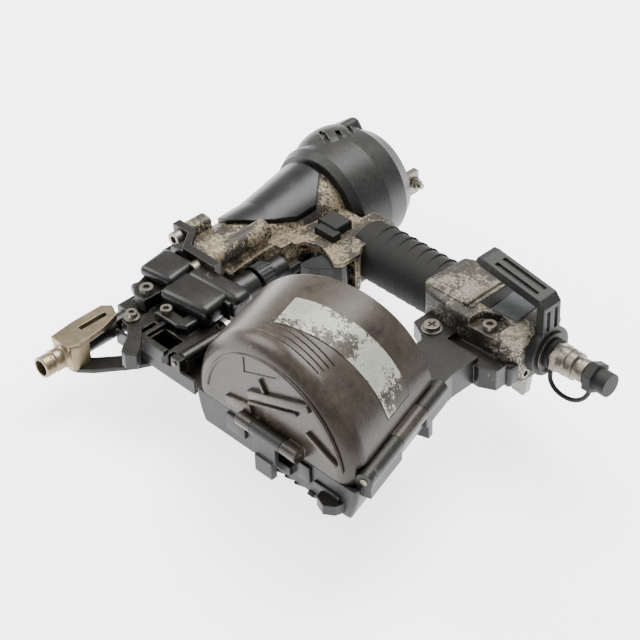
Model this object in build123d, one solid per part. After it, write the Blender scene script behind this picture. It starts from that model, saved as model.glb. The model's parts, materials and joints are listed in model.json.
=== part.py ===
from build123d import *
import math
import os

# Coil roofing nailer, high pressure pneumatic. Millimetres.
# The tool is drawn in its own frame: the muzzle is at the origin, +Y runs up the drive axis to the
# head, +X runs back along the grip and +Z is the tool's left side. The last lines lay it down on its
# right side, so that it rests on the magazine, and put the origin under the middle of its box.

# ---- driving dimensions --------------------------------------------------------------------------
muzzle_radius = 6.9
channel_radius = 5.2
barrel_top = 238.0
tool_height = 292.0
barrel_radius = 24.2
barrel_top_radius = 31.5
head_radius = 41.0
cylinder_bore = 18.5
cylinder_wall = 2.0
blade_radius = 3.0
grip_height = 226.0
grip_start = 55.0
grip_end = 128.0
grip_depth = 17.5
grip_width = 16.0
wrap_thickness = 2.0
cap_end = 204.0
drum_radius = 65.0
drum_wall = 2.6
base_depth = 58.0
drum_tilt = 16.5
drum_centre = (127.0, 127.0)
drum_floor = 54.0
hinge_offset = 66.5
hinge_height = 5.0
hinge_pin_radius = 2.2
knuckle_radius = 5.5
adjuster_x = 34.0
adjuster_z = 3.5
guard_half_width = 14.0
running_fit = 0.05
gap = 0.3

# resting attitude: turns about X and about Y that bring magazine, head and grip end to the ground
rest_roll = 1.17
rest_pitch = -8.76
rest_shift = (-106.27, -151.50, 36.20)

lean = math.radians(drum_tilt)


# ---- small helpers -------------------------------------------------------------------------------
def box(x0, x1, y0, y1, z0, z1):
    """A block between two corners."""
    size = (x1 - x0, y1 - y0, z1 - z0)
    return Pos((x0 + x1) / 2, (y0 + y1) / 2, (z0 + z1) / 2) * Box(*size)


def rod_y(x, z, radius, y0, y1):
    """A round bar along Y."""
    return Pos(x, (y0 + y1) / 2, z) * Rot(90, 0, 0) * Cylinder(radius, y1 - y0)


def rod_x(y, z, radius, x0, x1):
    """A round bar along X."""
    return Pos((x0 + x1) / 2, y, z) * Rot(0, 90, 0) * Cylinder(radius, x1 - x0)


def rod_z(x, y, radius, z0, z1):
    """A round bar along Z."""
    return Pos(x, y, (z0 + z1) / 2) * Cylinder(radius, z1 - z0)


def slab(points, z0, z1):
    """A plate of the given outline in XY, from z0 to z1."""
    return Pos(0, 0, z0) * extrude(make_face(Polyline(*points, close=True)), z1 - z0)


def turned(profile):
    """A body turned about the drive axis from (radius, height) points."""
    points = [(radius, height, 0) for radius, height in profile]
    return revolve(make_face(Polyline(*points, close=True)), Axis.Y, 360)


def soften(shape, edges, radius):
    """Round the edges, with a smaller radius where the full one can't be made."""
    for size in (radius, radius * 0.6, radius * 0.3):
        try:
            rounded = fillet(edges, size)
            if rounded.is_valid and rounded.volume > shape.volume * 0.5:
                return rounded
        except Exception:
            continue
    return shape


def socket_screw(head_radius, head_height, shank_radius, shank_length):
    """A socket head screw along +Z, with the underside of its head at the origin."""
    head = Pos(0, 0, head_height / 2) * Cylinder(head_radius, head_height)
    hexagon = extrude(RegularPolygon(head_radius * 0.55, 6), head_height * 0.6)
    head = head - Pos(0, 0, head_height * 0.4) * hexagon
    return head + Pos(0, 0, -shank_length / 2) * Cylinder(shank_radius, shank_length)


def in_drum(shape):
    """Place a shape drawn in the drum's frame: X across it, Y up its axis, Z to the tool's left."""
    return Pos(drum_centre[0], drum_centre[1], 0) * Rot(0, 0, drum_tilt) * shape


def coil(radius, wire, x, z, y0, y1, turns):
    """A closed round-wire compression spring along Y."""
    path = Helix((y1 - y0 - wire) / turns, y1 - y0 - wire, radius)
    start = path @ 0
    section = Plane(origin=start, z_dir=path % 0) * Circle(wire / 2)
    return Pos(x, y0 + wire / 2, z) * Rot(-90, 0, 0) * sweep(section, path=path)


solids = {}


def keep(name, shape):
    """Store one named piece."""
    solids[name] = shape


# ---- housing -------------------------------------------------------------------------------------
front_bolts = [(-17, 23), (-17, -23)]
rear_bolts = [(15, 22), (15, -22)]
front_seat = 129.0
rear_seat = 116.0


def main_housing():
    """Cast body: barrel, trigger guard, neck and hollow grip in one casting."""
    barrel = turned([(0, 122.2), (27, 122.2), (27, 131), (barrel_radius, 136), (barrel_radius, 182),
                     (barrel_top_radius, 228), (barrel_top_radius, barrel_top), (0, barrel_top)])
    barrel = barrel - box(23, 60, 100, 176, -60, 60)
    wall = slab([(0, 136), (13.6, 136), (27, 130), (24, 160), (24, 172), (30.6, 173), (35, 188), (46, 192),
                 (58, 188), (66, 184), (70, 187), (70, 203), (66, 208), (64, 242), (44, 242), (43, 231.5),
                 (0, 231.5)], -guard_half_width, guard_half_width)
    wall = soften(wall, wall.edges().filter_by(Axis.Z), 1.2)
    wall = wall - box(22, 72, 110, 199, -11.4, 11.4)
    grip = Pos(50, grip_height, 0) * Rot(0, 90, 0) * extrude(
        Ellipse(grip_width, grip_depth), grip_end - 50)
    body = barrel + wall + grip
    for x, z in front_bolts:
        body = body + rod_y(x, z, 6.5, 135.2, 150)
    for x, z in rear_bolts:
        body = body + rod_y(x, z, 7.2, 122.2, 172)
    body = body - slab([(-60, 100), (2.3, 100), (2.3, 122.2), (-7.7, 135.2), (-60, 135.2)], -60, 60)
    body = body - rod_y(0, 0, cylinder_bore + cylinder_wall + gap, 127.2, 210)
    body = body - rod_y(0, 0, 27.5, 206, barrel_top + 1)
    body = body - rod_y(0, 0, 14.6, 120, 130)
    body = body - rod_x(grip_height, 0, 12.5, 20, grip_end + 1)
    body = body - rod_y(valve_x, 0, 8.3, 196, 216)
    body = body - rod_y(valve_x, 0, 5.0, 214, 228)
    body = body - rod_z(trigger_pin_x, trigger_pin_y, 2.0, -30, 30)
    body = body - rod_y(adjuster_x, adjuster_z, 11.2, 110, 182)
    for x, z in front_bolts:
        body = body - rod_y(x, z, 3.0, 120, front_seat + 26)
    for x, z in rear_bolts:
        body = body - rod_y(x, z, 3.0, 120, rear_seat + 26)
    return body


def head_cap():
    """Domed head cover with a raised exhaust hood and three exhaust slots on the left."""
    dome = turned([(0, 232), (head_radius - 3, 232), (head_radius, 238), (head_radius + 0.5, 262),
                   (head_radius - 2, 278), (head_radius - 8, 288), (head_radius - 17, tool_height),
                   (0, tool_height)])
    hood = Pos(-18, 268, 24) * Rot(0, -37, 0) * Box(26, 40, 26)
    hood = soften(hood, hood.edges(), 5)
    body = dome + hood
    hollow = turned([(0, barrel_top + 0.05), (head_radius - 5.6, barrel_top + 0.05), (head_radius - 5.6, 272),
                     (head_radius - 12, 284), (0, 284)])
    body = body - hollow - rod_y(0, 0, barrel_top_radius + 0.05, 230, barrel_top + 1)
    for index in range(3):
        y = 256 + 9 * index
        cutter = Rot(0, -42, 0) * Pos(0, y, 0) * box(-11, 9, -1.6, 1.6, 30, 50)
        body = body - cutter
    for x, z in head_bolts:
        body = body - rod_y(x, z, 2.6, 280, 300) - rod_y(x, z, 4.5, 286.5, 300)
    return body


head_bolts = [(17, 17), (17, -17), (-17, -17), (-17, 17)]


def side_panel(side):
    """Faceted black cover panel clipped along the barrel, on the left (1) or right (-1)."""
    outline = [(-14, 158), (-4, 157), (8, 170), (20, 196), (21.5, 212), (8, 228), (-16, 229), (-25, 226), (-24, 200)]
    plate = slab(outline, 0, 36)
    core = turned([(0, 130), (barrel_radius + gap, 130), (barrel_radius + gap, 182),
                   (barrel_top_radius + gap, 228), (barrel_top_radius + gap, 232), (0, 232)])
    shell = turned([(0, 130), (barrel_radius + 3.2, 130), (barrel_radius + 3.2, 182),
                    (barrel_top_radius + 3.6, 228), (barrel_top_radius + 3.6, 231.7), (0, 231.7)])
    panel = (plate & shell) - core
    panel = panel - rod_y(rear_bolts[0][0], rear_bolts[0][1], 7.5, 120, 172.3)
    if side < 0:
        panel = mirror(panel, about=Plane.XY)
    return panel


def cylinder_sleeve():
    """Drawn alloy cylinder with return ports round its lower end."""
    sleeve = rod_y(0, 0, cylinder_bore + cylinder_wall, 127.25, 232) + rod_y(0, 0, 27.2, 206.5, 210)
    sleeve = sleeve - rod_y(0, 0, cylinder_bore, 127, 233)
    for step in range(8):
        port = Rot(0, step * 45, 0) * Pos(cylinder_bore, 142, 0) * Rot(0, 90, 0) * Cylinder(1.6, 12)
        sleeve = sleeve - port
    return sleeve


def bumper():
    """Rubber buffer that stops the piston."""
    return turned([(4.2, 127.3), (13.0, 127.3), (17.8, 130), (17.8, 134), (14.0, 137), (6.0, 137), (4.2, 134)])


def piston():
    """Alloy piston with a groove for its ring and the driver's clamped end."""
    body = rod_y(0, 0, cylinder_bore - running_fit, 226, 235)
    body = body - (rod_y(0, 0, cylinder_bore + 1, 229, 232) - rod_y(0, 0, cylinder_bore - 2.2, 228, 233))
    return body - rod_y(0, 0, blade_radius + 1.0, 225, 233)


def piston_ring():
    """Sealing ring in the piston's groove."""
    ring = rod_y(0, 0, cylinder_bore - 0.1, 229.3, 231.7)
    return ring - rod_y(0, 0, cylinder_bore - 2.0, 229, 232)


def driver_blade():
    """Hardened round driver with a headed end held in the piston."""
    return rod_y(0, 0, blade_radius, 100, 226) + rod_y(0, 0, blade_radius + 1.0, 226, 233)


def head_valve():
    """Ring valve that lifts off the cylinder to fire the tool."""
    ring = rod_y(0, 0, 34.5, 244, 256) + rod_y(0, 0, 23.5, 236.5, 250)
    return ring - rod_y(0, 0, 19.2, 235, 251) - rod_y(0, 0, 8.0, 250, 257)


def head_valve_seal():
    """Rubber face on top of the cylinder that the ring valve closes on."""
    return rod_y(0, 0, 20.5, 232.05, 236.2) - rod_y(0, 0, 19.0, 231, 237)


def head_valve_spring():
    """Spring that holds the ring valve down."""
    return coil(20, 2.2, 0, 0, 256.5, 283.5, 4)


def rubber_blocks():
    """Rubber feet on both flats of the casting, so the tool can be laid down."""
    block = box(30, 47, 205, 219, guard_half_width + 0.05, guard_half_width + 7)
    block = block + box(33, 50, 199, 206, guard_half_width + 0.05, guard_half_width + 5)
    block = soften(block, block.edges().group_by(Axis.Z)[-1], 1.5)
    return Compound(children=[block, mirror(block, about=Plane.XY)])


def head_bolt_group():
    """Four socket screws that hold the head cover."""
    group = []
    for x, z in head_bolts:
        screw = socket_screw(4.2, 4.5, 2.5, 7)
        group.append(Pos(x, 286.55, z) * Rot(-90, 0, 0) * screw)
    return Compound(children=group)


def exhaust_bracket():
    """Pressed bracket at the rear of the head that holds the exhaust cover's screw."""
    plate = box(22, 26, tool_height + 0.05, tool_height + 11, -9, 9)
    foot = box(8, 26, tool_height + 0.05, tool_height + 3, -9, 9)
    bracket = soften(plate + foot, (plate + foot).edges().filter_by(Axis.X), 2)
    return bracket - rod_x(tool_height + 7, 0, 2.2, 18, 30)


def exhaust_screw():
    """Hexagon screw and washer in the exhaust bracket."""
    y = tool_height + 7
    washer = rod_x(y, 0, 4.2, 26.05, 27.2) - rod_x(y, 0, 2.0, 26, 28)
    head = Pos(27.2, y, 0) * Rot(0, 90, 0) * extrude(RegularPolygon(3.6, 6), 3.0)
    return washer + head + rod_x(y, 0, 2.1, 21, 33)


# ---- nose ----------------------------------------------------------------------------------------
def nose_casting():
    """Black nose casting: drive channel, flange, nail track, door ears and the contact arm's guide."""
    snout = rod_y(0, 0, 6.6, 25, 72)
    block = slab([(-9, 68), (13.5, 68), (13.5, 118), (-16, 118), (-16, 108), (-9, 90)], -12, 6.6)
    block = block + slab([(-4, 76), (13.5, 76), (13.5, 118), (-14, 118), (-4, 89)], 6, 9.2)
    block = soften(block, block.edges().filter_by(Axis.Y), 2)
    lug = slab([(-24, 129), (-9.5, 129), (0, 116), (30, 116), (30, 122), (2, 122), (-8, 135), (-24, 135)],
               18.5, 29.5)
    collar = rod_y(0, 0, 26.5, 116, 135) - rod_y(0, 0, 21.0, 126.9, 136)
    collar = collar & slab([(-60, 116), (1.9, 116), (1.9, 122), (-8.1, 135), (-60, 135)], -60, 60)
    flange = rod_y(0, 0, 26.5, 116, 122) + collar + lug + mirror(lug, about=Plane.XY)
    flange = flange + rod_y(0, 0, 14.4, 118, 126.9) + box(20, 36, 116, 122, -6, 13)
    track = slab([(6, 54), (79, 54), (66.5, 101), (6, 101)], -7.6, 2.4)
    track = track - in_drum(rod_y(0, 0, drum_radius + gap, -130, 20))
    guide = rod_y(adjuster_x, adjuster_z, 10.0, 118, 143)
    body = snout + block + flange + track + guide
    body = body - rod_y(0, 0, channel_radius, 20, 131)
    body = body - rod_y(0, 0, 12.0, 124, 131) - rod_y(0, 0, 20.9, 126.95, 140)
    body = body - box(3, 90, 56, 97, -5.2, 5.3) + door_ears()
    body = body - rod_y(adjuster_x, adjuster_z, 4.0 + gap, 101.5, 150)
    body = body - rod_y(adjuster_x, adjuster_z, 8.4, 120, 150)
    for x, z in front_bolts:
        body = body - rod_y(x, z, 3.0, 105, 140) - rod_y(x, z, 5.6, 90, front_seat)
    for x, z in rear_bolts:
        body = body - rod_y(x, z, 3.0, 105, 130) - rod_y(x, z, 5.6, 90, rear_seat)
    for x, y in feed_bolts:
        body = body - rod_z(x, y, 2.5, 5.5, 13)
    return body


latch_pin_x = 20.0
latch_pin_y = 57.0


def nose_bolt_group():
    """Four socket screws that pull the nose against the housing, and two through the feeder."""
    group = []
    for x, z in front_bolts:
        group.append(Pos(x, front_seat, z) * Rot(90, 0, 0) * socket_screw(5.0, 6.0, 2.9, 24))
    for x, z in rear_bolts:
        group.append(Pos(x, rear_seat, z) * Rot(90, 0, 0) * socket_screw(5.0, 6.0, 2.9, 24))
    for x, y in feed_bolts:
        group.append(Pos(x, y, 18.05) * socket_screw(4.4, 4.2, 2.4, 11.5))
    return Compound(children=group)


def feed_housing():
    """Black feeder block bolted on the nose, bored for the feed piston."""
    plate = slab([(-12, 104), (-3, 78), (3, 73), (12.8, 73), (12.8, 104)], 9.25, 18)
    block = slab([(-11, 103), (57.5, 103), (57.5, 113), (53, 115.7), (-9, 115.7)], 9.25, 22)
    block = soften(block, block.edges().group_by(Axis.Z)[-1], 2)
    body = plate + block
    body = body - rod_x(feed_y, feed_z, feed_bore, 31.2, 59)
    body = body - rod_x(feed_y, feed_z, 2.2 + running_fit, 12, 35)
    body = body - box(15.1, 29.4, 100, 112.8, 10.8, 18.2)
    for x, y in feed_bolts:
        body = body - rod_z(x, y, 2.5, 8, 30) - rod_z(x, y, 4.8, 18, 40)
    return body - rod_y(rear_bolts[0][0], rear_bolts[0][1], 5.6, 100, 118)


feed_y = 109.5
feed_z = 15.5
feed_bore = 4.6
feed_bolts = [(8, 97), (7, 80)]
pawl_x = 26.2
pawl_z = 13.0


def feed_cap():
    """Screwed end cap of the feed cylinder."""
    plug = rod_x(feed_y, feed_z, feed_bore - running_fit, 52.5, 57.6)
    return plug + rod_x(feed_y, feed_z, 5.9, 57.55, 61)


def feed_piston():
    """Feed piston, rod and the carrier that the pawl hangs from."""
    body = rod_x(feed_y, feed_z, feed_bore - running_fit, 43, 49) + rod_x(feed_y, feed_z, 2.2, 26, 43)
    carrier = box(23.5, 29, 94, 112, 11.2, 16.4)
    return body + carrier - rod_y(pawl_x, pawl_z, 0.9 + running_fit, 90, 104)


def feed_pawl():
    """Sprung feed pawl with its pin, which pushes the nail strip towards the channel."""
    arm = box(24.2, 28.2, 83, 93, 5.8, pawl_z + 1.6)
    return arm + rod_y(pawl_x, pawl_z, 0.9, 92, 103)


def feed_spring():
    """Return spring of the feed piston."""
    return Pos(0, feed_y, feed_z) * Rot(0, 0, -90) * coil(3.4, 0.9, 0, 0, 31.5, 42.7, 4)


def feed_door():
    """Swinging door over the nail track, with two windows, a bulge and a hinge barrel."""
    outline = [(20, 52), (52, 52), (55, 55), (55, 60), (58, 60), (58, 92), (55, 92), (55, 95.7), (40, 95.7),
               (40, 81.5), (15.5, 81.5), (14.2, 80), (14.2, 60)]
    plate = slab(outline, 2.7, 9.5)
    bulge = slab([(24, 71), (44, 71), (50, 75), (50, 88), (46, 93), (40.5, 93), (40.5, 81), (24, 81)], 9, 16.6)
    bulge = soften(bulge, bulge.edges().group_by(Axis.Z)[-1], 2)
    ribs = box(15, 54, 52, 56, 9, 12.6) + box(31, 34, 52, 72, 9, 12.6)
    barrel = rod_y(door_hinge_x, door_hinge_z, 4.0, 60, 92)
    link = box(54, door_hinge_x, 60, 92, 3.6, 9.5)
    body = plate + bulge + ribs + barrel + link
    body = body - box(13, 57, 56, 94, 2, 5.5)
    body = body - box(24.6, 30, 58, 70, 5, 13) - box(35, 52, 58, 70, 5, 13)
    body = body - rod_z(latch_pin_x, latch_pin_y, 2.0, 2, 20) - rod_z(30, 76, 1.55, 9, 20)
    return body - rod_y(door_hinge_x, door_hinge_z, 1.5 + running_fit, 50, 100)


door_hinge_x = 62.0
door_hinge_z = 7.0


def door_hinge_pin():
    """Pin of the door, held in two ears on the track."""
    return rod_y(door_hinge_x, door_hinge_z, 1.5, 53, 99)


def door_ears():
    """Two ears on the track's rails that hold the door's pin."""
    ears = box(58.5, 66, 54, 59.4, 1.5, 10.5) + box(58.5, 66, 92.6, 98, 1.5, 10.5)
    return ears - rod_y(door_hinge_x, door_hinge_z, 1.5, 50, 100)


def door_latch():
    """Curved latch lever that locks the door, on a shouldered screw near the muzzle."""
    lever = slab([(15, 60), (14, 55), (18, 51), (24, 50), (31, 44), (38, 34), (44, 31), (50, 35), (45, 42),
                  (36, 51), (27, 59), (20, 63)], 12.9, 17.5)
    lever = lever + slab([(35, 38), (40, 31.5), (44, 31), (50, 35), (45, 42), (40, 44)], 7, 17.5)
    return lever - rod_z(latch_pin_x, latch_pin_y, 2.0 + running_fit, 5, 20)


def door_screw_group():
    """Shouldered screw that the latch turns on, and the socket screw on the door's bulge."""
    pivot = rod_z(latch_pin_x, latch_pin_y, 2.0, 5.6, 17.8) + rod_z(latch_pin_x, latch_pin_y, 5.0, 17.8, 19)
    pivot = pivot + Pos(latch_pin_x, latch_pin_y, 19) * socket_screw(3.6, 3.4, 1.0, 1.0)
    return Compound(children=[pivot, Pos(30, 76, 16.65) * socket_screw(3.8, 3.6, 1.5, 6)])


def contact_nose():
    """Nickel plated contact piece: grooved muzzle ring, socket over the snout and slotted top plate."""
    tip = turned([(channel_radius, 0), (muzzle_radius - 0.6, 0), (muzzle_radius, 0.6), (muzzle_radius, 6.5),
                  (6.1, 7.0), (6.1, 8.5), (7.2, 9.0), (7.2, 12.5), (6.6, 13.2), (channel_radius, 13.2)])
    socket = turned([(channel_radius, 13.2), (6.6, 13.2), (9.2, 19), (9.2, 31), (channel_radius, 31)])
    socket = socket + box(-9.2, 9.2, 17, 31, -8.05, 8.6)
    plate = slab([(-9, 16), (7, 16), (9, 24), (9, 31), (7.5, 44), (3, 58), (-6, 62), (-11, 57), (-11, 34)],
                 7.0, 10.6)
    lip = box(-11, -8.8, 34, 57, 1.5, 9)
    body = tip + socket + plate + lip
    body = body - rod_y(0, 0, 6.9, 14, 70)
    body = body - rod_y(0, 0, channel_radius, -1, 20)
    for y in arm_screw_heights:
        body = body - rod_z(1, y, 1.45, -10, -7.0)
    return body - box(-4, -0.5, 33, 54, 5, 12) - box(-12, 12, 15, 40, -12, -8.05)


arm_screw_heights = (23.0, 29.0)


def contact_arm():
    """Steel arm from the contact piece, under the nail track, up to the adjuster's rod."""
    bar = slab([(-6, 20), (8, 20), (16, 27), (32, 48), (39, 62), (39, 105.4), (29, 105.4), (29, 66), (21, 52),
                (6, 34), (-6, 34)], -10.9, -8.1)
    for y in arm_screw_heights:
        bar = bar - rod_z(1, y, 1.45, -13, -8)
    riser = box(29, 39, 102, 105.4, -10.9, adjuster_z + 2.6)
    rod = rod_y(adjuster_x, adjuster_z, 4.0, 103, 162)
    collar = rod_y(adjuster_x, adjuster_z, 7.6, 120.5, 123.0)
    return bar + riser + rod + collar


def arm_screw_group():
    """Two small screws that hold the arm to the contact piece."""
    group = []
    for y in arm_screw_heights:
        screw = Pos(1, y, -10.95) * Rot(180, 0, 0) * socket_screw(2.9, 1.8, 1.4, 3.9)
        group.append(screw)
    return Compound(children=group)


def arm_bush():
    """Guide bush in the mouth of the arm's guide."""
    ring = rod_y(adjuster_x, adjuster_z, 8.4, 140.5, 143)
    return ring - rod_y(adjuster_x, adjuster_z, 4.0 + running_fit, 140, 144)


def arm_spring():
    """Spring that pushes the contact arm out."""
    return coil(6.0, 1.2, adjuster_x, adjuster_z, 123.2, 140.3, 5)


def depth_dial():
    """Ribbed depth wheel on the arm's rod."""
    wheel = rod_y(adjuster_x, adjuster_z, 10.6, 145.5, 156.5)
    for step in range(24):
        rib = Pos(adjuster_x, 151, adjuster_z) * Rot(0, 15 * step, 0) * Pos(10.6, 0, 0) * Box(1.1, 9, 1.3)
        wheel = wheel - rib
    return wheel - rod_y(adjuster_x, adjuster_z, 4.0 + running_fit, 145, 157)


def dial_nut():
    """Threaded sleeve above the dial with its washer and the link that meets the contact lever."""
    sleeve = rod_y(adjuster_x, adjuster_z, 8.6, 157, 168) + rod_y(adjuster_x, adjuster_z, 7.0, 168, 169.6)
    link = box(37, 42, 160, 178, adjuster_z - 3, adjuster_z + 3)
    return sleeve + link - rod_y(adjuster_x, adjuster_z, 4.0, 156, 163)


# ---- trigger -------------------------------------------------------------------------------------
valve_x = 56.0
trigger_pin_x = 66.0
trigger_pin_y = 191.5


def valve_body():
    """Trigger valve housing pressed into the casting."""
    body = rod_y(valve_x, 0, 8.2, 196.5, 215.5) + rod_y(valve_x, 0, 4.9, 215, 226)
    return body - rod_y(valve_x, 0, 2.5, 190, 221)


def valve_stem():
    """Trigger valve plunger."""
    return rod_y(valve_x, 0, 2.45, 191.6, 216)


def trigger():
    """Black trigger, hinged at the rear of the guard, with a hollowed finger face."""
    outline = [(70, 191.5), (69.5, 187.5), (65, 184), (60, 177), (54, 173), (48.5, 171), (47.2, 173),
               (48, 181), (51, 189.6), (56, 190.6), (62, 195), (67, 195.5)]
    body = slab(outline, -10.8, 10.8)
    body = soften(body, body.edges().filter_by(Axis.Z), 0.8)
    body = body - box(50, 61, 178, 200, -5, 5)
    return body - rod_z(trigger_pin_x, trigger_pin_y, 1.9 + running_fit, -20, 20)


def trigger_pin():
    """Cross pin of the trigger."""
    return rod_z(trigger_pin_x, trigger_pin_y, 1.9, -guard_half_width - 0.6, guard_half_width + 0.6)


def trigger_lever():
    """Contact lever inside the trigger that the arm's link lifts."""
    return box(40, 60.6, 188.6, 190.8, -4.6, 4.6)


# ---- grip end ------------------------------------------------------------------------------------
def grip_wrap():
    """Friction tape wound round the grip."""
    outer = Pos(grip_start, grip_height, 0) * Rot(0, 90, 0) * extrude(
        Ellipse(grip_width + wrap_thickness, grip_depth + wrap_thickness), 126 - grip_start)
    inner = Pos(grip_start - 5, grip_height, 0) * Rot(0, 90, 0) * extrude(
        Ellipse(grip_width + 0.1, grip_depth + 0.1), grip_end - grip_start + 10)
    root = slab([(30, 180), (66, 184), (70, 187), (70, 203), (66, 208), (64.3, 242), (64.3, 250), (30, 250)],
                -guard_half_width - gap, guard_half_width + gap)
    return outer - inner - root - box(54, 68, 198, 209, -14.3, 14.3) - box(54, 64.5, 238, 250, -14.3, 14.3)


def end_cap():
    """Cast end cap with a stepped left face, a chamfered front and the air inlet boss."""
    outline = [(122, 209), (130, 201), (158, 197), (193, 199), (cap_end, 207), (cap_end, 240), (194, 247),
               (134, 247), (124, 242)]
    body = slab(outline, -20, 19)
    body = soften(body, body.edges().filter_by(Axis.Z), 4)
    body = soften(body, body.edges().group_by(Axis.Z)[-1], 3)
    body = soften(body, body.edges().group_by(Axis.Z)[0], 3)
    body = body - slab([(168, 190), (192, 190), (192, 211), (182, 214), (170, 209)], 13, 40)
    pocket = Pos(110, grip_height, 0) * Rot(0, 90, 0) * extrude(
        Ellipse(grip_width + wrap_thickness + 0.2, grip_depth + wrap_thickness + 0.2), grip_end - 109.8)
    hollow = rod_x(grip_height, 0, 12.6, grip_end, 186)
    body = body - pocket - hollow - rod_x(grip_height, 0, 8.35, 180, cap_end + 1)
    body = body - rod_z(180, 204.5, 1.0, 8, 20)
    for y, z in cap_screws:
        body = body - rod_x(y, z, 2.5, 150, cap_end + 1) - rod_x(y, z, 4.3, cap_end - 4.1, cap_end + 1)
    return body


cap_screws = [(238.5, 11.5), (238.5, -12.5), (211.5, -12.5)]


def cap_bolt_group():
    """Socket screws of the end cap, with the magazine bracket's screw and bolt."""
    group = []
    for y, z in cap_screws:
        group.append(Pos(cap_end - 4.1, y, z) * Rot(0, 90, 0) * socket_screw(4.0, 4.0, 2.4, 26))
    group.append(Pos(180, 204.5, 13.05) * socket_screw(4.4, 4.0, 0.95, 4.0))
    return Compound(children=group + bracket_screws())


def air_filter():
    """Wire mesh cup that strains the incoming air."""
    cup = rod_x(grip_height, 0, 9.0, 160, 185.5) - rod_x(grip_height, 0, 8.2, 162, 187)
    return cup


def inlet_bush():
    """Threaded inlet bush with the collar that keeps the hook on."""
    ring = rod_x(grip_height, 0, 8.3, 186.5, cap_end) + rod_x(grip_height, 0, 11.0, cap_end, cap_end + 7)
    ring = ring + rod_x(grip_height, 0, 13.5, cap_end + 6.6, cap_end + 8.6)
    return ring - rod_x(grip_height, 0, 6.0 + running_fit, 180, cap_end + 10)


def air_plug():
    """Steel air plug: shank, hexagon, collars and the coupling nipple."""
    nut_start = cap_end + 12.2
    shank = rod_x(grip_height, 0, 6.0, 188, nut_start)
    nut = Pos(nut_start, grip_height, 0) * Rot(0, 90, 0) * extrude(RegularPolygon(10.0, 6), 5.0)
    profile = [(0, 5), (9.2, 5), (9.2, 10), (8.2, 10.6), (9.0, 11.2), (9.0, 16), (6.4, 16.6), (6.4, 19.5),
               (7.6, 20), (7.6, 24), (6.4, 24.6), (5.6, 28), (5.6, 35), (4.6, 36.5), (0, 36.5)]
    nipple = turned(profile)
    body = shank + nut + Pos(nut_start, grip_height, 0) * Rot(0, 0, -90) * nipple
    return body - rod_x(grip_height, 0, 3.2, 187, cap_end + 60)


def dust_cap():
    """Rubber dust cap pushed over the nipple, with its tether's eye behind the plug's hexagon."""
    start = cap_end + 38.4
    flange = Pos(start, grip_height, 0) * Rot(0, 90, 0) * extrude(RegularPolygon(10.5, 6), 6.0)
    body = flange + rod_x(grip_height, 0, 7.6, start + 6, start + 15)
    body = body - rod_x(grip_height, 0, 6.5, start - 1, start + 2.5)
    body = body - rod_x(grip_height, 0, 5.65, start, start + 10.6)
    eye = rod_x(grip_height, 0, 10.0, cap_end + 8.9, cap_end + 12.0)
    eye = eye - rod_x(grip_height, 0, 6.1, cap_end + 8, cap_end + 13)
    return Compound(children=[body, eye])


strap_diameter = 3.0
strap_route = [(214.5, 222.9, -9.0), (214.2, 221.5, -14.0), (216.8, 220.6, -18.6), (221.6, 220.0, -21.3),
               (228.0, 219.8, -22.2), (234.6, 220.0, -21.2), (240.0, 220.8, -18.0), (243.6, 221.8, -13.4),
               (245.0, 222.8, -8.4)]


def cap_strap():
    """Round rubber tether of the dust cap."""
    points = [Vector(*point) for point in strap_route]
    radii = []
    for before, here, after in zip(points, points[1:], points[2:]):
        first = here - before
        second = after - here
        turn = math.radians(first.get_angle(second))
        radii.append(0.45 * min(first.length, second.length) / math.tan(turn / 2))
    path = FilletPolyline(*points, radius=radii)
    section = Plane(origin=path @ 0, z_dir=path % 0) * Circle(strap_diameter / 2)
    strap = sweep(section, path=path)
    print("strap radii", [round(radius, 1) for radius in radii], "length", round(path.length, 1))
    print("strap volume", round(strap.volume, 1), "section times length",
          round(math.pi * strap_diameter ** 2 / 4 * path.length, 1))
    return strap - dust_cap()


def belt_hook():
    """Moulded hanger that swivels round the inlet bush and reaches forward over the cap's left side."""
    start = cap_end + 0.4
    ring = rod_x(grip_height, 0, 16.5, start, start + 6)
    side = [(0, 6), (0, 34), (-46, 41.5), (-49.5, 44), (-48, 47.2), (-44, 47.6), (2, 40), (6, 35), (6, 6)]
    outline = [(start + x, z, 0) for x, z in side]
    strap = extrude(make_face(Polyline(*outline, close=True)), 15)
    strap = Pos(0, grip_height + 7.5, 0) * Rot(90, 0, 0) * strap
    body = strap + ring
    body = soften(body, body.edges().filter_by(Axis.X).filter_by_position(Axis.Z, 20, 60), 1.5)
    for offset in (-3.4, 3.4):
        y = grip_height + offset
        body = body - box(start + 4.6, start + 8, y - 1.5, y + 1.5, 17, 32)
        groove = box(-34, 0, y - 1.5, y + 1.5, -1.6, 3)
        body = body - Pos(start - 3, 0, 40.6) * Rot(0, 9.2, 0) * groove
    return body - rod_x(grip_height, 0, 11.0 + running_fit, cap_end - 1, cap_end + 9)


def rest_tab():
    """Soft clear plastic foot under the right side of the end cap."""
    plate = box(179, 195, 222, 234, -24, -20.05)
    tongue = Pos(187, 228, -35) * Rot(0, 8, 0) * Box(12, 5, 23)
    tongue = soften(tongue, tongue.edges().filter_by(Axis.Y), 3)
    return plate + tongue


# ---- magazine ------------------------------------------------------------------------------------
def drum_solid(width, depth, top, floor, floor_round):
    """Oval canister, its axis leaning back and its floor square to the drive axis."""
    body = in_drum(Pos(0, -130, 0) * Rot(-90, 0, 0) * extrude(Ellipse(width, depth), 130 + top))
    body = body & box(0, 300, floor, 300, -100, 100)
    rim = body.edges().filter_by_position(Axis.Y, floor - 0.01, floor + 0.01)
    return soften(body, rim, floor_round)


def feed_mouth():
    """The slot in the drum's front wall that the nail strip leaves by."""
    return box(50, 95, 57, 97, -5.5, 5.5)


def hinge_bar(radius, low, high):
    """A bar along the hinge of the magazine."""
    return in_drum(rod_y(hinge_offset, hinge_height, radius, low, high))


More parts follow.
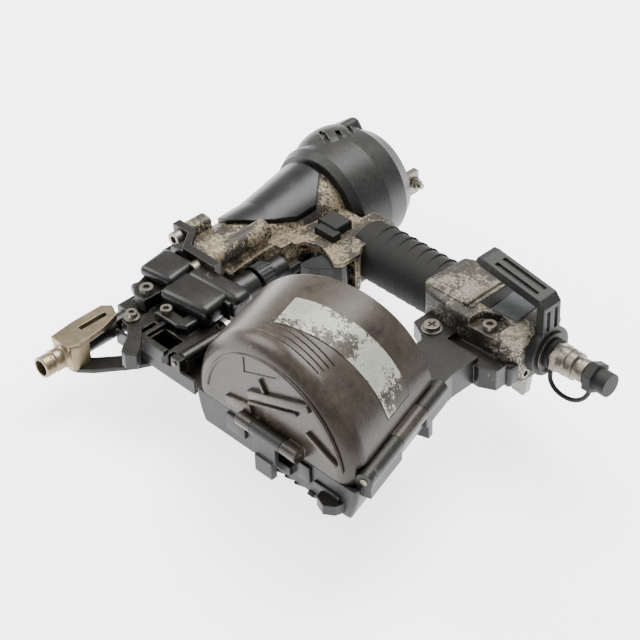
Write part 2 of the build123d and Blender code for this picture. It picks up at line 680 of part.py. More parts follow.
cover_span = (-51.0, -21.0)
base_spans = [(-20.6, 5.0), (-89.0, -51.4)]
latch_y = 49.5
latch_z = 5.5


def magazine_cover():
    """Smoke brown swing cover: the left half of the drum with its hinge barrel and latch lugs."""
    shell = drum_solid(drum_radius, drum_radius, 0, drum_floor, 12)
    inner_radius = drum_radius - drum_wall
    inner = drum_solid(inner_radius, inner_radius, -drum_wall, drum_floor + drum_wall, 9.5)
    body = (shell - inner) & box(-50, 350, -50, 350, gap / 2, 120)
    body = body + hinge_bar(knuckle_radius, *cover_span)
    for low, high in base_spans:
        body = body - in_drum(box(60.9, 90, low - 0.4, high + 0.4, -10, hinge_height + knuckle_radius + 0.5))
    for start, stop in latch_lug_spans:
        body = body + rod_x(latch_y, latch_z, 4.5, start, stop) + box(start, stop, latch_y, drum_floor + 1, 2, 9)
    body = body - feed_mouth() - hinge_bar(hinge_pin_radius + running_fit, -130, 20)
    return body - rod_x(latch_y, latch_z, 1.5, 100, 180)


latch_lug_spans = [(125, 137), (163, 175)]
bevel_start = -22.0
bevel_reach = 56.0


def bevel_block(offset):
    """The wedge cut from the right edge of the base's floor, moved up by the offset."""
    y = drum_floor + offset
    z = bevel_start + offset / 3
    wedge = Polyline((20, z), (y, z), (y + bevel_reach, z - bevel_reach), (20, z - bevel_reach), close=True)
    return extrude(Plane.YZ * make_face(wedge), 320)


def magazine_base():
    """Black fixed half of the drum, its right floor edge cut away at a slope."""
    shell = drum_solid(drum_radius, base_depth, 0, drum_floor, 3)
    inner = drum_solid(drum_radius - drum_wall, base_depth - drum_wall, -drum_wall, drum_floor + drum_wall, 2)
    body = (shell - bevel_block(0)) - (inner - bevel_block(3.4))
    body = body & box(-50, 350, -50, 350, -120, -gap / 2)
    for low, high in base_spans:
        link = in_drum(box(61.5, hinge_offset + 4.5, low, high, -6, hinge_height))
        body = body + hinge_bar(knuckle_radius, low, high) + link
    body = body - hinge_bar(knuckle_radius + 0.5, cover_span[0] - 0.4, cover_span[1] + 0.4)
    body = body + box(135, 165, 50.5, 55, -16, -10)
    body = body + slab([(188, 55), (190, 48), (198, 45), (204, 49), (206, 55)], -21, -14)
    return body - feed_mouth() - hinge_bar(hinge_pin_radius, -130, 20)


def magazine_hinge_pin():
    """Steel pin of the magazine cover."""
    return hinge_bar(hinge_pin_radius, -89.5, 5.5)


def magazine_latch():
    """Spring latch of the magazine cover, two barrels and a finger tab over the base's catch."""
    body = rod_x(latch_y, latch_z, 4.5, 137.4, 162.6)
    body = body + box(141, 159, latch_y - 4.5, latch_y - 1.5, -9, latch_z)
    body = body + box(143, 157, latch_y - 6, latch_y - 1.5, -20, -8)
    return body - rod_x(latch_y, latch_z, 1.5 + running_fit, 100, 180)


def latch_pin():
    """Pin of the magazine latch."""
    return rod_x(latch_y, latch_z, 1.5, 125.5, 174.5)


def nail_support():
    """Height-adjustable table that the nail coil stands on."""
    disc = in_drum(rod_y(0, 0, 44.5, -43, -40.5) + rod_y(0, 0, 9.0, -52, -42))
    return disc - in_drum(rod_y(0, 0, 6.0, -60, -30))


def support_post():
    """Post that the nail table slides on, fixed in the drum's top."""
    post = rod_y(0, 0, 5.95, -68, -drum_wall - 0.4) + box(-6, 6, -8, -drum_wall, -20, -1)
    return in_drum(post)


def magazine_arm():
    """Black bracket that carries the magazine from the end cap."""
    guard = slab([(138, 199.6), (143, 188), (158, 184), (190, 184), (200, 189), (200, 198.9), (193, 198.6),
                  (158, 196.6)], -15, 0)
    ear = slab([(134, 200.2), (134, 186), (146, 180), (160, 182), (160, 196.4), (158, 196.6)], -8, 4)
    arm = slab([(150, 188), (186, 188), (186, 165), (189, 149.5), (156, 140), (150, 160)], -14, 4)
    body = guard + ear + arm + in_drum(box(24, 62, 0.05, 5, -34, -3))
    body = body - in_drum(box(60.5, 80, -1, 6, -7, 12))
    return body - rod_z(147, 188.5, 2.05, -10.2, 8) - rod_z(176, 190, 2.45, -30, -7.8)


def bracket_screws():
    """Cross-head screw on the bracket's ear and the hexagon bolt under the guard."""
    ear_screw = rod_z(147, 188.5, 5.2, 4.05, 7.8) + rod_z(147, 188.5, 6.8, 4.05, 4.9)
    ear_screw = ear_screw - box(144, 150, 187.9, 189.1, 6.4, 9) - box(146.4, 147.6, 185.5, 191.5, 6.4, 9)
    ear_screw = ear_screw + rod_z(147, 188.5, 2.0, -10, 4.1)
    bolt = Pos(176, 190, -15.05) * Rot(180, 0, 0) * extrude(RegularPolygon(4.6, 6), 5)
    return [ear_screw, bolt + rod_z(176, 190, 2.4, -16, -8)]


def label_plate():
    """Blank metallised label on the cover's wall."""
    skin = in_drum(rod_y(0, 0, drum_radius + 0.45, -65, -8)) - in_drum(rod_y(0, 0, drum_radius + 0.05, -70, 0))
    window = in_drum(box(-12, 62, -51, -25, 5, 80))
    return skin & window


# ---- the assembly --------------------------------------------------------------------------------
keep("main_housing", main_housing())
keep("head_cap", head_cap())
keep("side_panel_left", side_panel(1))
keep("side_panel_right", side_panel(-1))
keep("cylinder_sleeve", cylinder_sleeve())
keep("bumper", bumper())
keep("piston", piston())
keep("piston_ring", piston_ring())
keep("driver_blade", driver_blade())
keep("head_valve", head_valve())
keep("head_valve_seal", head_valve_seal())
keep("head_valve_spring", head_valve_spring())
keep("rubber_blocks", rubber_blocks())
keep("head_bolts", head_bolt_group())
keep("exhaust_bracket", exhaust_bracket())
keep("exhaust_screw", exhaust_screw())
keep("nose_casting", nose_casting())
keep("nose_bolts", nose_bolt_group())
keep("feed_housing", feed_housing())
keep("feed_cap", feed_cap())
keep("feed_piston", feed_piston())
keep("feed_pawl", feed_pawl())
keep("feed_spring", feed_spring())
keep("feed_door", feed_door())
keep("door_hinge_pin", door_hinge_pin())
keep("door_latch", door_latch())
keep("door_screws", door_screw_group())
keep("contact_nose", contact_nose())
keep("contact_arm", contact_arm())
keep("arm_screws", arm_screw_group())
keep("arm_bush", arm_bush())
keep("arm_spring", arm_spring())
keep("depth_dial", depth_dial())
keep("dial_nut", dial_nut())
keep("valve_body", valve_body())
keep("valve_stem", valve_stem())
keep("trigger", trigger())
keep("trigger_pin", trigger_pin())
keep("trigger_lever", trigger_lever())
keep("grip_wrap", grip_wrap())
keep("end_cap", end_cap())
keep("cap_bolts", cap_bolt_group())
keep("air_filter", air_filter())
keep("inlet_bush", inlet_bush())
keep("air_plug", air_plug())
keep("dust_cap", dust_cap())
keep("cap_strap", cap_strap())
keep("belt_hook", belt_hook())
keep("rest_tab", rest_tab())
keep("magazine_cover", magazine_cover())
keep("magazine_base", magazine_base())
keep("magazine_hinge_pin", magazine_hinge_pin())
keep("magazine_latch", magazine_latch())
keep("latch_pin", latch_pin())
keep("nail_support", nail_support())
keep("support_post", support_post())
keep("magazine_arm", magazine_arm())
keep("label_plate", label_plate())

attitude = Pos(*rest_shift) * Rot(0, rest_pitch, 0) * Rot(rest_roll, 0, 0)
os.makedirs("parts", exist_ok=True)
for name, shape in solids.items():
    export_step(attitude * shape, f"parts/{name}.step")
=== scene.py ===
import bpy
import math
from mathutils import Euler, Matrix, Vector
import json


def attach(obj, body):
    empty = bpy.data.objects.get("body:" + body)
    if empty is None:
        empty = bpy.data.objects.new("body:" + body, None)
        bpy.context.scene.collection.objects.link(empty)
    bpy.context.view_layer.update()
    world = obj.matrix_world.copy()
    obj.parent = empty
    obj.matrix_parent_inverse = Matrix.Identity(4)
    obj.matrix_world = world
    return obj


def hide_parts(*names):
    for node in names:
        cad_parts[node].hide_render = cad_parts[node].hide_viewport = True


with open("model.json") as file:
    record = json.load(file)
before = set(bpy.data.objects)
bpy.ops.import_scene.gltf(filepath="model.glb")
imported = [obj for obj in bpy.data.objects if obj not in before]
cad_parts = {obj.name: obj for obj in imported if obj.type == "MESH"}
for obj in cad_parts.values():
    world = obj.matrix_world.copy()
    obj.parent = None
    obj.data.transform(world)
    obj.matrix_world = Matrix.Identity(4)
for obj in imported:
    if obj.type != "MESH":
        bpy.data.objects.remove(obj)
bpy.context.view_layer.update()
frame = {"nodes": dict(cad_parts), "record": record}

# ---- cast housing ----
# The tool's body is one alloy casting, sprayed satin black. Years of site work have rubbed the
# paint off its edges and high spots, so pale tan metal shows in patches between the black.
nodes = frame["nodes"]


def to_linear(code):
    """An sRGB hex colour as linear red, green, blue and alpha."""
    parts = [int(code[index:index + 2], 16) / 255 for index in (1, 3, 5)]
    return [part / 12.92 if part <= 0.04045 else ((part + 0.055) / 1.055) ** 2.4 for part in parts] + [1.0]


def add(tree, kind, settings, links):
    """A shader node with its settings, and links from other nodes' outputs to its inputs."""
    made = tree.nodes.new(kind)
    for key, value in settings.items():
        if isinstance(key, str) and hasattr(made, key):
            setattr(made, key, value)
        else:
            made.inputs[key].default_value = value
    for key, output in links.items():
        tree.links.new(output, made.inputs[key])
    return made


def ramp(tree, source, stops):
    """A colour ramp over a value, with (place, colour) stops."""
    made = add(tree, "ShaderNodeValToRGB", {}, {0: source})
    band = made.color_ramp
    while len(band.elements) < len(stops):
        band.elements.new(0.5)
    for element, (place, colour) in zip(band.elements, stops):
        element.position = place
        element.color = to_linear(colour)
    return made.outputs[0]


def new_material(name):
    """An empty node material with its shader and object coordinates."""
    material = bpy.data.materials.new(name)
    material.use_nodes = True
    tree = material.node_tree
    tree.nodes.clear()
    shader = add(tree, "ShaderNodeBsdfPrincipled", {}, {})
    add(tree, "ShaderNodeOutputMaterial", {}, {0: shader.outputs[0]})
    place = add(tree, "ShaderNodeTexCoord", {}, {}).outputs["Object"]
    return material, tree, shader, place


def worn_coat(name, coat, bare, dust, patch, worn_share, edge, rough, metal, grain, grain_depth,
              scratched=0.0):
    """Paint or plating over metal, worn through in patches and along edges, with dust on top.

    patch is the width of a worn patch and grain that of a casting grain, both in metres; metal is
    how metallic the coat and the bare part are, and scratched how strongly pale hairlines show.
    """
    material, tree, shader, place = new_material(name)
    patches = add(tree, "ShaderNodeTexNoise", {"Scale": 1 / patch, "Detail": 7.0, "Roughness": 0.72},
                  {"Vector": place})
    specks = add(tree, "ShaderNodeTexNoise", {"Scale": 1 / 0.0016, "Detail": 3.0, "Roughness": 0.6},
                 {"Vector": place})
    round_normal = add(tree, "ShaderNodeBevel", {"samples": 4, "Radius": 0.0011}, {})
    flat_normal = add(tree, "ShaderNodeNewGeometry", {}, {})
    along = add(tree, "ShaderNodeVectorMath", {"operation": "DOT_PRODUCT"},
                {0: round_normal.outputs[0], 1: flat_normal.outputs["True Normal"]})
    corner = add(tree, "ShaderNodeMath", {"operation": "SUBTRACT", 0: 1.0}, {1: along.outputs["Value"]})
    rubbed = add(tree, "ShaderNodeMath", {"operation": "MULTIPLY", 1: edge}, {0: corner.outputs[0]})
    mixed = add(tree, "ShaderNodeMath", {"operation": "MULTIPLY_ADD", 1: 0.35},
                {0: specks.outputs[0], 2: patches.outputs[0]})
    level = add(tree, "ShaderNodeMath", {"operation": "ADD"}, {0: mixed.outputs[0], 1: rubbed.outputs[0]})
    shown = add(tree, "ShaderNodeMapRange", {"From Min": 0.86 - worn_share, "From Max": 0.92 - worn_share},
                {"Value": level.outputs[0]})
    coat_colour = ramp(tree, patches.outputs[0], [(0.3, coat[0]), (0.7, coat[1])])
    bare_colour = ramp(tree, specks.outputs[0], [(0.35, bare[0]), (0.65, bare[1])])
    worn = add(tree, "ShaderNodeMix", {"data_type": "RGBA"},
               {0: shown.outputs[0], 6: coat_colour, 7: bare_colour})
    drawn = add(tree, "ShaderNodeMapping", {"Rotation": (0.5, 0.9, 0.4), "Scale": (1.0, 9.0, 1.6)},
                {"Vector": place})
    hairs = add(tree, "ShaderNodeTexNoise", {"Scale": 1 / 0.018, "Detail": 5.0, "Roughness": 0.7},
                {"Vector": drawn.outputs[0]})
    on_line = add(tree, "ShaderNodeMath", {"operation": "COMPARE", 1: 0.5, 2: 0.006}, {0: hairs.outputs[0]})
    seen = add(tree, "ShaderNodeMath", {"operation": "MULTIPLY", 1: scratched}, {0: on_line.outputs[0]})
    scored = add(tree, "ShaderNodeMix", {"data_type": "RGBA"},
                 {0: seen.outputs[0], 6: worn.outputs[2], 7: bare_colour})
    up = add(tree, "ShaderNodeSeparateXYZ", {}, {0: flat_normal.outputs["Normal"]})
    film = add(tree, "ShaderNodeTexNoise", {"Scale": 1 / 0.02, "Detail": 9.0, "Roughness": 0.8},
               {"Vector": place})
    lying = add(tree, "ShaderNodeMath", {"operation": "MULTIPLY"}, {0: film.outputs[0], 1: up.outputs["Z"]})
    dusty = add(tree, "ShaderNodeMapRange", {"From Min": 0.3, "From Max": 0.75, "To Max": dust[1]},
                {"Value": lying.outputs[0]})
    colour = add(tree, "ShaderNodeMix", {"data_type": "RGBA", 7: to_linear(dust[0])},
                 {0: dusty.outputs[0], 6: scored.outputs[2]})
    tree.links.new(colour.outputs[2], shader.inputs["Base Color"])
    shine = add(tree, "ShaderNodeMapRange", {"To Min": metal[0], "To Max": metal[1]},
                {"Value": shown.outputs[0]})
    tree.links.new(shine.outputs[0], shader.inputs["Metallic"])
    shader.inputs["Specular IOR Level"].default_value = 0.32
    gloss = add(tree, "ShaderNodeMapRange", {"To Min": rough - 0.12, "To Max": rough + 0.12},
                {"Value": film.outputs[0]})
    tree.links.new(gloss.outputs[0], shader.inputs["Roughness"])
    cast = add(tree, "ShaderNodeTexNoise", {"Scale": 1 / grain, "Detail": 2.0}, {"Vector": place})
    height = add(tree, "ShaderNodeMath", {"operation": "MULTIPLY_ADD", 1: -0.5},
                 {0: shown.outputs[0], 2: cast.outputs[0]})
    bump = add(tree, "ShaderNodeBump", {"Strength": 0.6, "Distance": grain_depth},
               {"Height": height.outputs[0], "Normal": round_normal.outputs[0]})
    tree.links.new(bump.outputs[0], shader.inputs["Normal"])
    return material


def wear(material, *names):
    """Give one material to CAD nodes."""
    for name in names:
        mesh = nodes[name].data
        mesh.materials.clear()
        mesh.materials.append(material)


housing_paint = worn_coat("satin black paint on cast aluminium", ("#0b0a09", "#201c17"),
                          ("#5c5140", "#94876f"),
                          ("#6f6453", 0.3), 0.022, 0.19, 2.0, 0.5, (0.0, 0.45), 0.0012, 0.0003, 0.3)
wear(housing_paint, "main_housing")

# ---- head cover ----
# The cover over the air valve is a dark grey pressure casting, scuffed all over by being set down
# on roofs. Scratches show as pale hairlines and the underside edge is rubbed lighter.
cover_paint = worn_coat("dark grey paint on die-cast aluminium", ("#08090a", "#161717"),
                        ("#4a4842", "#76726a"),
                        ("#5a564e", 0.22), 0.045, 0.0, 1.3, 0.42, (0.0, 0.3), 0.0009, 0.00018, 0.28)
wear(cover_paint, "head_cap")

# ---- side panels ----
# Clip-on panels of moulded black nylon beside the barrel, still darker and glossier than the
# painted metal round them. The valve, trigger, depth dial and nail table are as black.
panel_nylon = worn_coat("moulded black nylon", ("#060607", "#101112"), ("#242424", "#3a3a3a"),
                        ("#3d3b37", 0.14), 0.02, 0.0, 0.6, 0.34, (0.0, 0.0), 0.0006, 0.00008, 0.25)
wear(panel_nylon, "side_panel_left", "side_panel_right", "depth_dial", "head_valve", "valve_body",
     "valve_stem", "nail_support", "support_post", "trigger", "trigger_lever")

# ---- nose and feeder ----
# Nose, feeder and door are castings under black enamel that is always wet with tool oil, so they
# stay dark and shine, with dust caked where the oil holds it.
oily_enamel = worn_coat("oiled black enamel on cast aluminium", ("#050505", "#0f0e0d"),
                        ("#3b3832", "#5f5a51"),
                        ("#453f35", 0.22), 0.016, 0.02, 0.9, 0.3, (0.0, 0.4), 0.0008, 0.00016, 0.2)
wear(oily_enamel, "nose_casting", "feed_housing", "feed_cap", "feed_door", "door_latch", "magazine_arm",
     "contact_arm", "dial_nut", "feed_piston", "feed_pawl")

# ---- contact piece ----
# The contact piece is cast steel with a thin nickel plate, gone champagne with heat and wear.
nickel = worn_coat("worn nickel plate on steel", ("#6b604c", "#9b8d74"), ("#2f2a23", "#4f483c"),
                   ("#51493c", 0.3), 0.012, 0.05, 0.5, 0.34, (0.9, 0.4), 0.001, 0.0002, 0.3)
wear(nickel, "contact_nose")

# ---- screws, pins and air fittings ----
# Screws, pins and the air plug are zinc plated or blackened steel, dulled by dust.
zinc = worn_coat("zinc plated steel", ("#5f5b53", "#8b867b"), ("#2e2b27", "#4a463f"),
                 ("#4f493f", 0.35), 0.01, 0.03, 0.4, 0.36, (0.85, 0.3), 0.0008, 0.0001, 0.3)
wear(zinc, "head_bolts", "exhaust_screw", "nose_bolts", "door_screws", "arm_screws", "cap_bolts",
     "exhaust_bracket", "air_plug", "air_filter", "cylinder_sleeve", "piston", "door_hinge_pin", "trigger_pin",
     "driver_blade", "magazine_hinge_pin", "latch_pin", "feed_spring", "arm_spring", "head_valve_spring",
     "arm_bush")
dull_steel = worn_coat("blackened steel", ("#0f0e0e", "#211f1d"), ("#5a5349", "#7b7266"),
                       ("#4f493e", 0.3), 0.01, 0.05, 1.0, 0.42, (0.3, 0.8), 0.0008, 0.0001, 0.3)
wear(dull_steel, "inlet_bush")

# ---- wound grip ----
# Black friction tape wound round the grip, each turn lapping the last, matt and grey with dust.
tape = worn_coat("wound black friction tape", ("#060606", "#0e0e0d"), ("#24221f", "#34312c"),
                  ("#48443c", 0.2), 0.02, 0.0, 0.3, 0.74, (0.0, 0.0), 0.0014, 0.0002, 0.1)
wear(tape, "grip_wrap")

# ---- tape turns ----
# The tape is wound on a slant, so each turn stands a little proud where it laps the one before.
record = frame["record"]
joints = {joint["name"]: joint for joint in record["behaviour"]["joints"]}
muzzle = [mount for mount in record["mounts"] if mount["name"] == "muzzle_ring"][0]
tool_x = Vector(joints["plug_swivel"]["axis"]).normalized()
tool_y = Vector(joints["contact_press"]["axis"]).normalized()
tool_z = Vector(joints["door_latch_turn"]["axis"]).normalized()
tool_turn = Matrix((tool_x, tool_y, tool_z)).transposed()
ring_middle = 0.0035
tool_origin = Vector(muzzle["pos_m"]) - tool_y * ring_middle


def spot(x, y, z):
    """A point given in millimetres along the tool's own axes from its muzzle, in the frame."""
    return tool_origin + (tool_x * x + tool_y * y + tool_z * z) / 1000


def placed(operator, name, place, turn, lengths, **settings):
    """Add one primitive at a place on the tool, turned and sized, with its place in its mesh."""
    bpy.ops.object.select_all(action="DESELECT")
    operator(location=(0, 0, 0), **settings)
    piece = bpy.context.object
    piece.name = name
    stretch = Matrix.Diagonal(Vector([length / 1000 for length in lengths])).to_4x4()
    whole = tool_turn.to_4x4() @ Euler([math.radians(angle) for angle in turn]).to_matrix().to_4x4() @ stretch
    piece.data.transform(Matrix.Translation(spot(*place)) @ whole)
    return piece


def rounded(piece, width, steps):
    """Round a piece's edges by a width in metres, and shade it smooth."""
    edge = piece.modifiers.new("rounded edges", "BEVEL")
    edge.width = width
    edge.segments = steps
    edge.limit_method = "ANGLE"
    bpy.context.view_layer.objects.active = piece
    bpy.ops.object.modifier_apply(modifier=edge.name)
    piece.select_set(True)
    bpy.ops.object.shade_smooth_by_angle(angle=math.radians(35))


def finish_piece(piece, material, body):
    """Dress a new piece and let it ride its body."""
    piece.data.materials.append(material)
    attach(piece, body)


def rounded_block(name, place, turn, size, radius, steps, material, body):
    """A box with rounded edges, dressed and riding its body."""
    block = placed(bpy.ops.mesh.primitive_cube_add, name, place, turn, size, size=1.0)
    rounded(block, radius, steps)
    finish_piece(block, material, body)


tape_pitch = 8.6
for turn in range(8):
    lap = placed(bpy.ops.mesh.primitive_cone_add, f"tape_turn_{turn + 1}",
                 (63.5 + tape_pitch * turn, 226, 0), (0, 90, 9), (18.2, 19.7, 9.4),
                 vertices=64, radius1=1.0, radius2=1.028, depth=1.0, end_fill_type="NOTHING")
    wall = lap.modifiers.new("tape", "SOLIDIFY")
    wall.thickness = 0.0005
    bpy.context.view_layer.objects.active = lap
    bpy.ops.object.modifier_apply(modifier=wall.name)
    bpy.ops.object.shade_smooth_by_angle(angle=math.radians(35))
    finish_piece(lap, tape, "tool")

# ---- exhaust hood ----
# The exhaust hood swells smoothly out of the head cover, with three slanting slots in its crown.
# It is a whole ball, so its inner half lies inside the head.
hood = placed(bpy.ops.mesh.primitive_uv_sphere_add, "exhaust_hood", (-12.4, 261, 19.5), (0, -20, 0),
              (26, 30, 22.8), segments=64, ring_count=32, radius=1.0)
bpy.ops.object.shade_smooth_by_angle(angle=math.radians(40))
slot_depth = 5.0
slot_pitch = 9
for step in range(3):
    cutter = placed(bpy.ops.mesh.primitive_cube_add, f"slot_cutter_{step + 1}",
                    (-10 + 3 * step, 252 + slot_pitch * step, 41), (0, -14, -24), (22, 3.4, slot_depth),
                    size=1.0)
    sawn = hood.modifiers.new("slot", "BOOLEAN")
    sawn.object = cutter
    sawn.solver = "EXACT"
    bpy.context.view_layer.objects.active = hood
    bpy.ops.object.modifier_apply(modifier=sawn.name)
    bpy.data.objects.remove(cutter)
finish_piece(hood, cover_paint, "tool")

# ---- end cap ----
# Cast end cap in silver grey paint that has flaked in sheets down to a rough grey skin.
flaked = worn_coat("flaking silver grey paint on cast aluminium", ("#151411", "#29261f"),
                   ("#59544a", "#8d8675"),
                    ("#655e50", 0.28), 0.026, 0.17, 1.2, 0.52, (0.0, 0.35), 0.0011, 0.0003, 0.5)
wear(flaked, "end_cap")

# ---- hanger ----
# The hanger is glass filled nylon, evenly grey black and matt.
hook_nylon = worn_coat("moulded glass filled nylon", ("#0f1010", "#1c1c1c"), ("#3c3b38", "#55534d"),
                        ("#4c4840", 0.2), 0.02, 0.0, 0.9, 0.48, (0.0, 0.0), 0.0006, 0.0001, 0.4)
wear(hook_nylon, "belt_hook")

# ---- canister base ----
# The fixed half of the canister is moulded black nylon, ribbed on its floor and dusty.
wear(hook_nylon, "magazine_latch")
base_nylon = worn_coat("moulded black nylon, dusty", ("#080808", "#131312"), ("#2f2d29", "#46433c"),
                        ("#4c473d", 0.28), 0.03, 0.0, 1.0, 0.42, (0.0, 0.0), 0.0007, 0.0001, 0.3)
wear(base_nylon, "magazine_base")

# ---- canister cover ----
# The swing cover is smoke brown polycarbonate, so scratched outside that it passes little light.
smoke = worn_coat("scratched smoke brown polycarbonate", ("#17130f", "#332b22"), ("#5c5345", "#80776a"),
                    ("#6c6253", 0.35), 0.04, 0.03, 0.8, 0.3, (0.0, 0.0), 0.002, 0.00012, 0.2)
wear(smoke, "magazine_cover")

# ---- cover floor ribs ----
# Moulded into the cover's floor are a raised rim round its edge, a slanting stop ridge, a small
# rib above it and the thin outline of an inspection panel.
floor_y = 54.0
rim = placed(bpy.ops.mesh.primitive_torus_add, "cover_floor_rim", (148.6, floor_y, 0), (90, 0, 0),
             (57.5, 54.5, 54.5), major_radius=1.0, minor_radius=0.02, major_segments=96, minor_segments=10)
bpy.ops.object.mode_set(mode="EDIT")
bpy.ops.mesh.select_all(action="SELECT")
bpy.ops.mesh.bisect(plane_co=spot(148.6, floor_y, 9), plane_no=tool_z, use_fill=True, clear_inner=True)
bpy.ops.object.mode_set(mode="OBJECT")
bpy.ops.object.shade_smooth_by_angle(angle=math.radians(40))
finish_piece(rim, smoke, "cover")

cover_ribs = (
    ("stop_ridge", (156, 53.2, 34), 20.0, (54, 4.0, 5.5)),
    ("ridge_foot", (150, 53.4, 24.5), 20.0, (44, 2.4, 2.2)),
    ("short_rib", (142, 53.4, 36.5), -62.0, (9, 3.0, 2.4)),
    ("panel_outline_side", (126, 53.8, 43), 90.0, (11, 1.0, 0.8)),
    ("panel_outline_foot", (140, 53.8, 43), 21.0, (30, 1.0, 0.8)),
    ("panel_outline_end", (157, 53.8, 51.5), 43.0, (9, 1.0, 0.8)),
    ("latch_step_left", (121, 53.2, 11.5), 12.0, (22, 3.0, 6.0)),
    ("latch_step_right", (190, 53.2, 18), -23.0, (26, 3.0, 3.4)),
)
for rib_name, place, slant, size in cover_ribs:
    rounded_block(rib_name, place, (0, -slant, 0), size, 0.0005, 3, smoke, "cover")

# ---- canister band ----
# Fine grooves worn along the round wall of the cover, and the step of the wall by its hinge.
for band in range(4):
    hoop = placed(bpy.ops.mesh.primitive_torus_add, f"wall_hoop_{band + 1}",
                  (146.0 - 1.2 * band, 66.0 + 4.2 * band, 0), (90, 0, 0), (67.2, 65.1, 65.1),
                  major_radius=1.0, minor_radius=0.006, major_segments=128, minor_segments=6)
    bpy.ops.object.mode_set(mode="EDIT")
    bpy.ops.mesh.select_all(action="SELECT")
    bpy.ops.mesh.bisect(plane_co=spot(140, 60, 12), plane_no=tool_z, use_fill=True, clear_inner=True)
    bpy.ops.mesh.select_all(action="SELECT")
    bpy.ops.mesh.bisect(plane_co=spot(176, 60, 0), plane_no=tool_x, use_fill=True, clear_outer=True)
    bpy.ops.object.mode_set(mode="OBJECT")
    finish_piece(hoop, smoke, "cover")

# ---- base ribs ----
# Nylon ribs on the base: a pad round the latch, two slanting ribs and the curved guard of the foot.
base_ribs = (
    ("latch_pad_left", (117, 53.4, -8), (0, 0, 0), (16, 2.6, 12)),
    ("latch_pad_right", (175, 53.4, -8), (0, 0, 0), (10, 2.6, 12)),
    ("slanting_rib_one", (150, 62, -31), (-45, 0, 0), (3.2, 24, 1.8)),
    ("slanting_rib_two", (158, 62, -31), (-45, 0, 0), (2.4, 24, 1.8)),
    ("slanting_rib_three", (166, 62, -31), (-45, 0, 0), (2.4, 24, 1.8)),
    ("foot_guard", (180, 61, -30), (-45, 0, 0), (5.0, 24, 3.0)),
    ("foot_guard_end", (193, 53.6, -12), (0, 0, 0), (20, 2.4, 5.0)),
)
for rib_name, place, turn, size in base_ribs:
    rounded_block(rib_name, place, turn, size, 0.0006, 3, base_nylon, "tool")

# ---- label ----
# A metallised film label, torn and weathered, with only blank shapes left on it.
film_label = worn_coat("weathered metallised film", ("#8a8c80", "#bcbdb0"), ("#241f19", "#383127"),
                        ("#8d8877", 0.2), 0.024, 0.2, 0.2, 0.36, (0.2, 0.0), 0.002, 0.0001, 0.4)
wear(film_label, "label_plate")

# ---- rubber parts ----
# Dust cap, tether, side pads and inner seals are black nitrile rubber with a soft dusty bloom.
nitrile = worn_coat("moulded nitrile rubber", ("#060606", "#0f0f0f"), ("#1e1d1b", "#2b2a27"),
                    ("#45423a", 0.22), 0.015, 0.0, 0.3, 0.6, (0.0, 0.0), 0.0008, 0.0001, 0.1)
wear(nitrile, "rubber_blocks", "bumper", "head_valve_seal", "piston_ring", "dust_cap")

# ---- dust cap tether ----
# A round rubber tether runs from the plug's collar to the dust cap's eye in one open loop.
strap_diameter = 0.003
strap_route = [(0.2145, 0.2229, -0.0090), (0.2142, 0.2215, -0.0140), (0.2168, 0.2206, -0.0186),
               (0.2216, 0.2200, -0.0213), (0.2280, 0.2198, -0.0222), (0.2346, 0.2200, -0.0212),
               (0.2400, 0.2208, -0.0180), (0.2436, 0.2218, -0.0134), (0.2450, 0.2228, -0.0084)]
route = [spot(*(1000 * length for length in point)) for point in strap_route]
line = bpy.data.curves.new("dust_cap_tether", "CURVE")
line.dimensions = "3D"
line.bevel_depth = strap_diameter / 2
line.bevel_resolution = 6
spline = line.splines.new("NURBS")
spline.points.add(len(route) - 1)
for point, place in zip(spline.points, route):
    point.co = (*place, 1.0)
spline.order_u = 3
spline.use_endpoint_u = True
spline.resolution_u = 16
tether = bpy.data.objects.new("dust_cap_tether", line)
bpy.context.scene.collection.objects.link(tether)
finish_piece(tether, nitrile, "plug")
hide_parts("cap_strap")

# ---- end cap dressing ----
# On the cap's left face: the rim step of its lid, a strip of old black rubber and a pad of grey
# grit paper glued beside it, with the cap's big bolt in front.
cap_face = 19.0
grit = worn_coat("grey grit paper", ("#303335", "#4b4e4f"), ("#62646a", "#7d7e7c"), ("#5f5c55", 0.25),
                 0.012, 0.02, 0.4, 0.8, (0.0, 0.0), 0.0009, 0.0004)
cap_dressing = (
    ("lid_ridge", (158.5, 223, cap_face + 0.9), (0, 0, 0), (4.4, 36, 3.4), flaked, "cap_grey"),
    ("lid_ridge_lower", (162.2, 223, cap_face + 0.3), (0, 0, 0), (3.0, 35, 1.6), flaked, "cap_grey"),
    ("rubber_strip", (168, 227, cap_face + 0.1), (0, 0, 0), (8.0, 27, 1.2), nitrile, "soft_rubber"),
    ("grit_pad", (182, 226, cap_face + 0.2), (0, 0, 4), (20, 24, 1.6), grit, "cap_grey"),
    ("lid_plate", (143, 223, cap_face + 0.1), (0, 0, 0), (27, 36, 1.8), flaked, "cap_grey"),
)
for part_name, place, turn, size, material, slot_name in cap_dressing:
    rounded_block(part_name, place, turn, size, 0.0007, 3, material, "tool")

# ---- feeder shroud ----
# The feeder's castings carry domed covers: one over the pawl, one over the feed cylinder, and a
# web that runs down the nose to the contact piece.
shroud_parts = (
    ("pawl_dome", (3, 101, 22.4), (0, 0, 8), (27, 26, 8.4), 0.0038),
    ("feeder_cover", (34, 97, 17), (0, 0, 8), (40, 28, 15), 0.005),
    ("cylinder_cover", (38, 112, 19), (0, 0, 4), (46, 16, 13), 0.005),
    ("nose_web", (-1, 91, 11), (0, 0, -18), (14, 26, 8), 0.003),
    ("shoulder", (6, 121, 14), (0, 0, 0), (26, 9, 14), 0.003),
)
for part_name, place, turn, size, radius in shroud_parts:
    rounded_block(part_name, place, turn, size, radius, 4, oily_enamel, "tool")

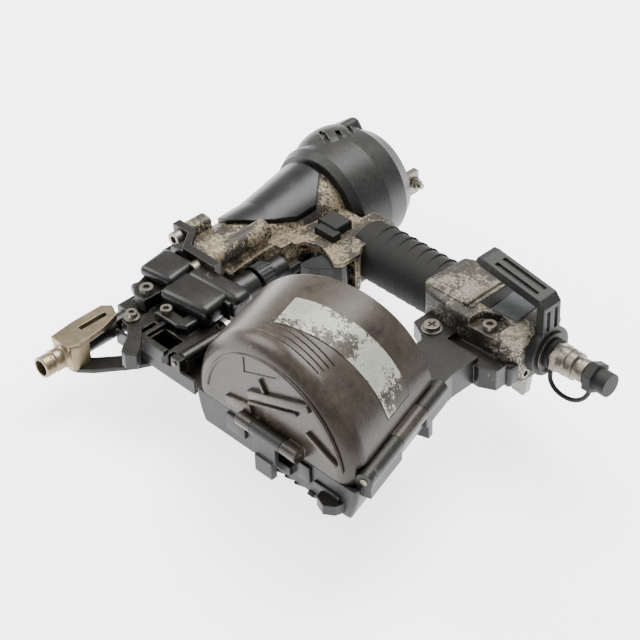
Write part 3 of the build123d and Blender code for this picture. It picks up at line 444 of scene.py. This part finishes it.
# ---- cap bracket shell ----
# A black enamelled shell wraps the cap's lower half and carries the canister's bracket.
shell_parts = (
    ("bracket_shell_front", (163, 199.0, -9), (0, 0, 0), (62, 6, 19), 0.0028),
    ("bracket_shell_end", (198.5, 216, -10), (0, 0, 0), (8, 36, 17), 0.0028),
)
for part_name, place, turn, size, radius in shell_parts:
    rounded_block(part_name, place, turn, size, radius, 4, oily_enamel, "tool")

# ---- rest tab ----
# A soft clear plastic foot, gone cloudy.
clear = worn_coat("cloudy soft polyurethane", ("#63625d", "#8c8b85"), ("#807f79", "#a3a29d"),
                  ("#6e6a61", 0.2), 0.01, 0.0, 0.3, 0.33, (0.0, 0.0), 0.001, 0.0001)
wear(clear, "rest_tab")

# ---- floor, light and camera ----
# A plain pale floor, a large soft light above and one from the left, and the camera.
bpy.ops.object.select_all(action="DESELECT")
bpy.ops.mesh.primitive_plane_add(size=6, location=(0, 0, -0.0005))
floor = bpy.context.object
floor.name = "floor"
floor_material, _, floor_shader, _ = new_material("matt white card")
floor_shader.inputs["Base Color"].default_value = to_linear("#fafafa")
floor_shader.inputs["Roughness"].default_value = 0.9
floor_shader.inputs["Emission Color"].default_value = to_linear("#ffffff")
floor_shader.inputs["Emission Strength"].default_value = 2.6
floor.data.materials.append(floor_material)

world = bpy.data.worlds.new("studio")
bpy.context.scene.world = world
world.use_nodes = True
world.node_tree.nodes["Background"].inputs[0].default_value = to_linear("#ffffff")
world.node_tree.nodes["Background"].inputs[1].default_value = 0.9


def soft_light(name, place, size, watts):
    """A square area light that faces the middle of the tool."""
    lamp = bpy.data.lights.new(name, "AREA")
    lamp.size = size
    lamp.energy = watts
    light = bpy.data.objects.new(name, lamp)
    light.location = place
    light.rotation_euler = (Vector((0, 0, 0.05)) - Vector(place)).to_track_quat("-Z", "Y").to_euler()
    bpy.context.scene.collection.objects.link(light)


soft_light("top light", (-0.3, 0.45, 1.3), 0.9, 34)
soft_light("left light", (-1.1, -0.4, 0.8), 0.7, 14)

camera_data = bpy.data.cameras.new("camera")
camera_data.lens = 118.04
camera_data.shift_x = -0.0034
camera_data.shift_y = 0.0028
camera = bpy.data.objects.new("camera", camera_data)
bpy.context.scene.collection.objects.link(camera)
bpy.context.scene.camera = camera
camera_right = Vector((0.68966, 0.71798, 0.09420))
camera_up = Vector((-0.54539, 0.42943, 0.71982))
camera_back = camera_right.cross(camera_up)
camera.rotation_euler = Matrix((camera_right, camera_up, camera_back)).transposed().to_euler()
camera.location = (0.60149, -0.71368, 0.94699)
